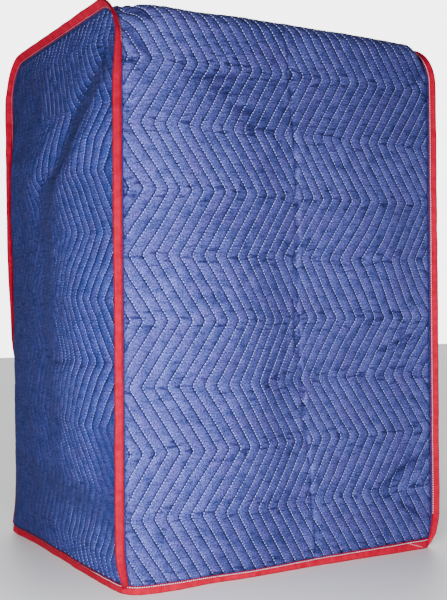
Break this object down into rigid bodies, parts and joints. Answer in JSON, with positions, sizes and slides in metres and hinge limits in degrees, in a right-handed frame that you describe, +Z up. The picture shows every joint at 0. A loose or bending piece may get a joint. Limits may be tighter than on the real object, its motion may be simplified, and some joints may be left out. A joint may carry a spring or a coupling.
{
  "type": "quilted appliance cover",
  "caption": "Tall box-shaped appliance cover of zigzag-quilted cloth with folded binding on its side seams and hem, open underneath.",
  "frame": {"origin": "on the floor, at the middle of the cover's plan outline", "axes": "+Z up, -Y out of the front panel, +X to the right seen from the front"},
  "size_m": [0.8196, 0.7601, 1.1839],
  "materials": {
    "quilted_cloth": "matte quilted cloth, blue",
    "binding_tape": "matte woven tape, red"
  },
  "bodies": {
    "root": {"body_panel": "quilted_cloth", "side_panel_left": "quilted_cloth", "side_panel_right": "quilted_cloth", "seam_binding_left": "binding_tape", "seam_binding_right": "binding_tape", "hem_binding": "binding_tape"}
  },
  "joints": []
}
